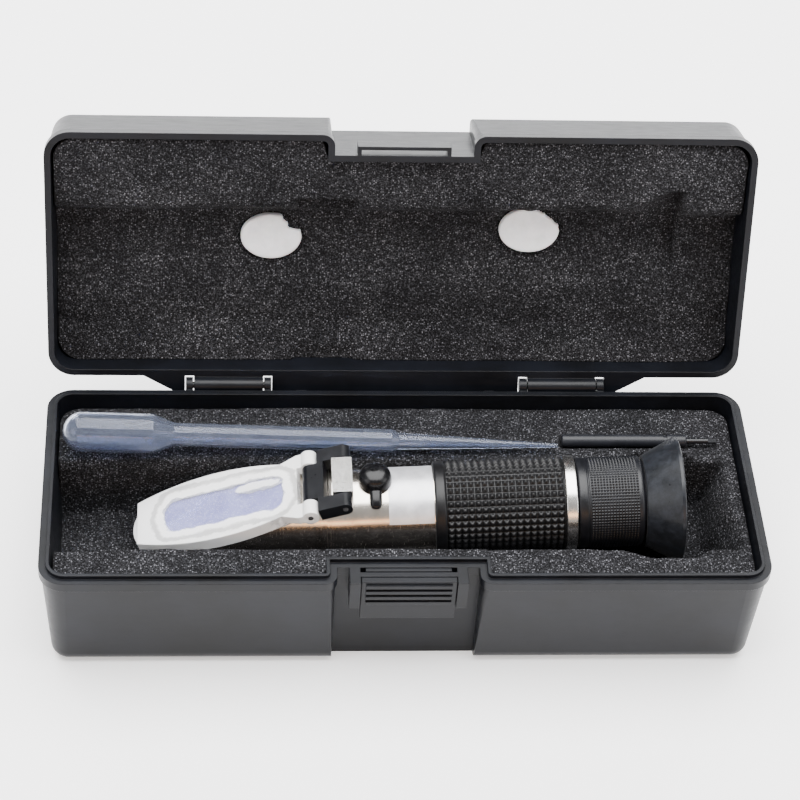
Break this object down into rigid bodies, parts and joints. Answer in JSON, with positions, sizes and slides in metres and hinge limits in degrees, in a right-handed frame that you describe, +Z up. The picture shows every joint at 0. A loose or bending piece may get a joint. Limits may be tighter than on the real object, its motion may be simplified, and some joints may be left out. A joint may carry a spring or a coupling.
{
  "type": "antifreeze refractometer",
  "caption": "Handheld antifreeze refractometer lying in an open, foam-lined hinged case, with a transfer pipette and a small screwdriver.",
  "frame": {"origin": "middle of the flat face that the case stands on", "axes": "+X along the case to the eyepiece end, +Y to the hinges at the back, +Z up out of the case"},
  "size_m": [0.205, 0.1222, 0.1114],
  "materials": {
    "case_plastic": "moulded polypropylene, satin with a fine texture",
    "case_foam": "open-cell polyether foam, dark grey",
    "white_plug": "white closed-cell foam",
    "pin_steel": "drawn steel wire",
    "tube_steel": "satin-turned stainless steel",
    "bright_nickel": "polished nickel plate",
    "black_metal": "satin black paint on die-cast zinc",
    "black_aluminium": "black anodised, turned",
    "brass": "turned, bare",
    "optical_glass": "polished, clear",
    "clear_acrylic": "moulded acrylic, clear with a frosted field",
    "black_rubber": "moulded rubber, matte",
    "clear_polyethylene": "blown low-density polyethylene, milky",
    "black_plastic": "moulded ABS, satin"
  },
  "bodies": {
    "case_base": {"base_shell": "case_plastic", "base_foam": "case_foam", "hinge_pins": "pin_steel"},
    "lid": {"lid_shell": "case_plastic", "lid_foam": "case_foam", "lid_plugs": "white_plug"},
    "latch": {"latch_slider": "case_plastic"},
    "instrument": {"prism_housing": "tube_steel", "main_prism": "optical_glass", "prism_seal": "black_rubber", "tube_collar": "tube_steel", "main_tube": "tube_steel", "hinge_block": "bright_nickel", "link_pin": "pin_steel", "rubber_grip": "black_rubber", "trim_ring": "bright_nickel", "lens_carrier": "brass", "objective_lens": "optical_glass", "screw_bush": "brass", "bimetal_strip": "pin_steel", "light_stop": "black_aluminium", "reticle_ring": "black_aluminium", "reticle_disc": "optical_glass", "reticle_retainer": "black_aluminium", "focus_sleeve": "black_aluminium", "focus_o_ring": "black_rubber"},
    "link": {"plate_link": "black_metal", "plate_pin": "pin_steel"},
    "plate": {"daylight_plate": "clear_acrylic"},
    "eyepiece": {"eyepiece_barrel": "black_aluminium", "field_lens": "optical_glass", "lens_spacer": "black_aluminium", "eye_lens": "optical_glass", "lens_retainer": "black_aluminium", "eyepiece_clip": "black_aluminium"},
    "focus": {"focus_ring": "black_plastic", "eyecup": "black_rubber"},
    "calibration": {"calibration_screw": "brass"},
    "cap": {"screw_cap": "black_rubber"},
    "pipette": {"pipette": "clear_polyethylene"},
    "screwdriver": {"screwdriver_handle": "black_plastic", "screwdriver_blade": "pin_steel"}
  },
  "joints": [
    {"name": "lid_hinge", "type": "hinge", "parent": "case_base", "child": "lid", "pos_m": [0, 0.041, 0.036], "axis": [-1, 0, 0], "range_deg": [-107.5, 0]},
    {"name": "latch_slide", "type": "slide", "parent": "case_base", "child": "latch", "axis": [0, 0, -1], "range_m": [-0.004, 0]},
    {"name": "instrument_lift", "type": "slide", "parent": "case_base", "child": "instrument", "axis": [0, 0, 1], "range_m": [0, 0.06]},
    {"name": "link_hinge", "type": "hinge", "parent": "instrument", "child": "link", "pos_m": [-0.01707, -0.003, 0.04176], "axis": [0, 1, 0], "range_deg": [0, 50]},
    {"name": "plate_hinge", "type": "hinge", "parent": "link", "child": "plate", "pos_m": [-0.02682, -0.003, 0.03843], "axis": [0, 1, 0], "range_deg": [0, 90]},
    {"name": "focus_travel", "type": "slide", "parent": "instrument", "child": "eyepiece", "axis": [0.9982, 0, 0.0593], "range_m": [0, 0.0024]},
    {"name": "focus_turn", "type": "hinge", "parent": "eyepiece", "child": "focus", "pos_m": [0.04991, -0.003, 0.03177], "axis": [0.9982, 0, 0.0593], "range_deg": [0, 240]},
    {"name": "calibration_turn", "type": "hinge", "parent": "instrument", "child": "calibration", "pos_m": [-0.00759, -0.003, 0.02835], "axis": [-0.0593, 0, 0.9982], "range_deg": [-180, 180]},
    {"name": "cap_pull", "type": "slide", "parent": "instrument", "child": "cap", "axis": [-0.0593, 0, 0.9982], "range_m": [0, 0.01]},
    {"name": "pipette_lift", "type": "slide", "parent": "case_base", "child": "pipette", "axis": [0, 0, 1], "range_m": [0, 0.05]},
    {"name": "screwdriver_lift", "type": "slide", "parent": "case_base", "child": "screwdriver", "axis": [0, 0, 1], "range_m": [0, 0.05]}
  ],
  "couplings": [
    {"joint": "focus_turn", "follows": "focus_travel", "rad_per_m": 1745.3}
  ]
}
